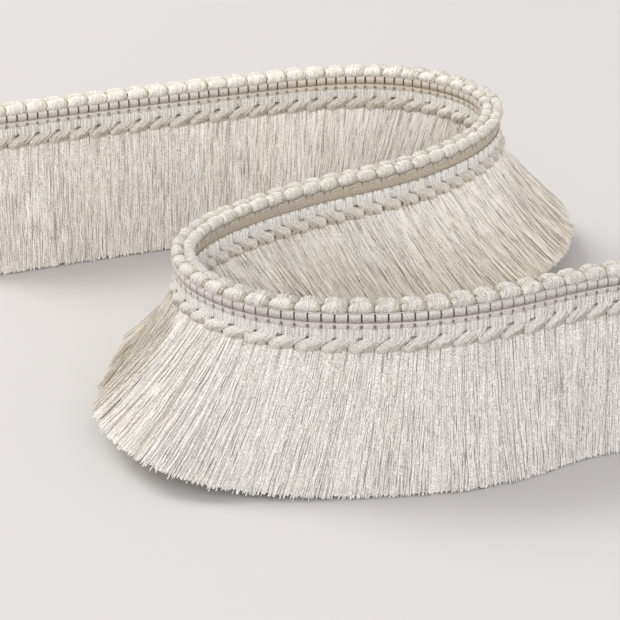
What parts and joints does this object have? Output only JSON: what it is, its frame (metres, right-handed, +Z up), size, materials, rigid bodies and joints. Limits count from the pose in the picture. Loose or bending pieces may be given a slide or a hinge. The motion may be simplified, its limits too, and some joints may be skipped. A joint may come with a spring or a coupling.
{
  "type": "brush fringe",
  "caption": "Brush fringe with a beaded woven heading and a dense cut-yarn skirt, standing on its yarn ends in an S-shaped lay.",
  "frame": {"origin": "middle of the footprint, on the surface that the yarn ends stand on", "axes": "+Z up, from the cut yarn ends to the beaded edge; the lay's three runs lie one behind the other along Y, the front run towards -Y"},
  "size_m": [0.2048, 0.2282, 0.0506],
  "materials": {
    "heading_yarn": "ivory lustrous yarn, woven and looped",
    "skirt_yarn": "ivory lustrous cut yarn"
  },
  "bodies": {
    "root": {"heading_band": "heading_yarn", "skirt_01": "skirt_yarn", "skirt_02": "skirt_yarn", "skirt_03": "skirt_yarn", "skirt_04": "skirt_yarn", "skirt_05": "skirt_yarn", "skirt_06": "skirt_yarn", "skirt_07": "skirt_yarn", "skirt_08": "skirt_yarn", "skirt_09": "skirt_yarn", "skirt_10": "skirt_yarn", "skirt_11": "skirt_yarn", "skirt_12": "skirt_yarn", "skirt_13": "skirt_yarn"}
  },
  "joints": []
}
